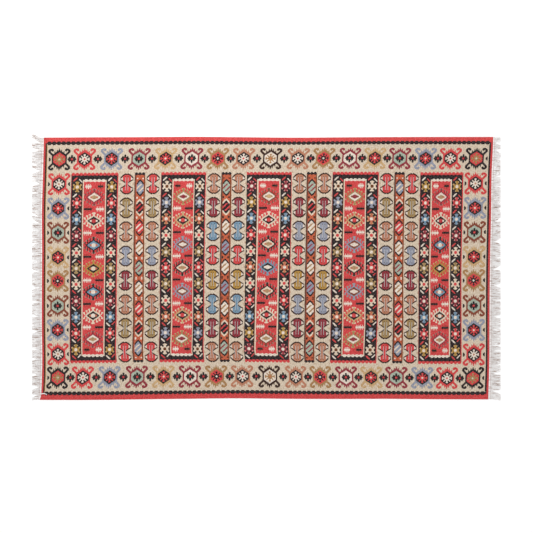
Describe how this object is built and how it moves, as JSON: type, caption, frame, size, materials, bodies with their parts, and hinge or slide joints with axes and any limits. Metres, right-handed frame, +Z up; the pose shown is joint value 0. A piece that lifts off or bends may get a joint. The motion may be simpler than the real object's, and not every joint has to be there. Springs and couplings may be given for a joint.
{
  "type": "kilim rug",
  "caption": "Rectangular flat-woven wool rug with hooked border motifs, striped columns of stars and diamonds, and a short cotton warp fringe at each end, lying flat on a floor",
  "frame": {"origin": "middle of the rug's whole footprint, fringes included, on the floor it lies on", "axes": "+X along the warps from the left fringe to the right one, +Y across the warps towards the far long edge, +Z up out of the face"},
  "size_m": [3.042, 1.7394, 0.003],
  "materials": {
    "wool": "weft-faced tapestry weave of dyed wool in red, cream, black, orange, blue, gold and other plain colours",
    "cotton": "undyed off-white cotton warp ends, loosely bunched"
  },
  "bodies": {
    "root": {"kilim_cloth": "wool", "fringe_left": "cotton", "fringe_right": "cotton"}
  },
  "joints": []
}
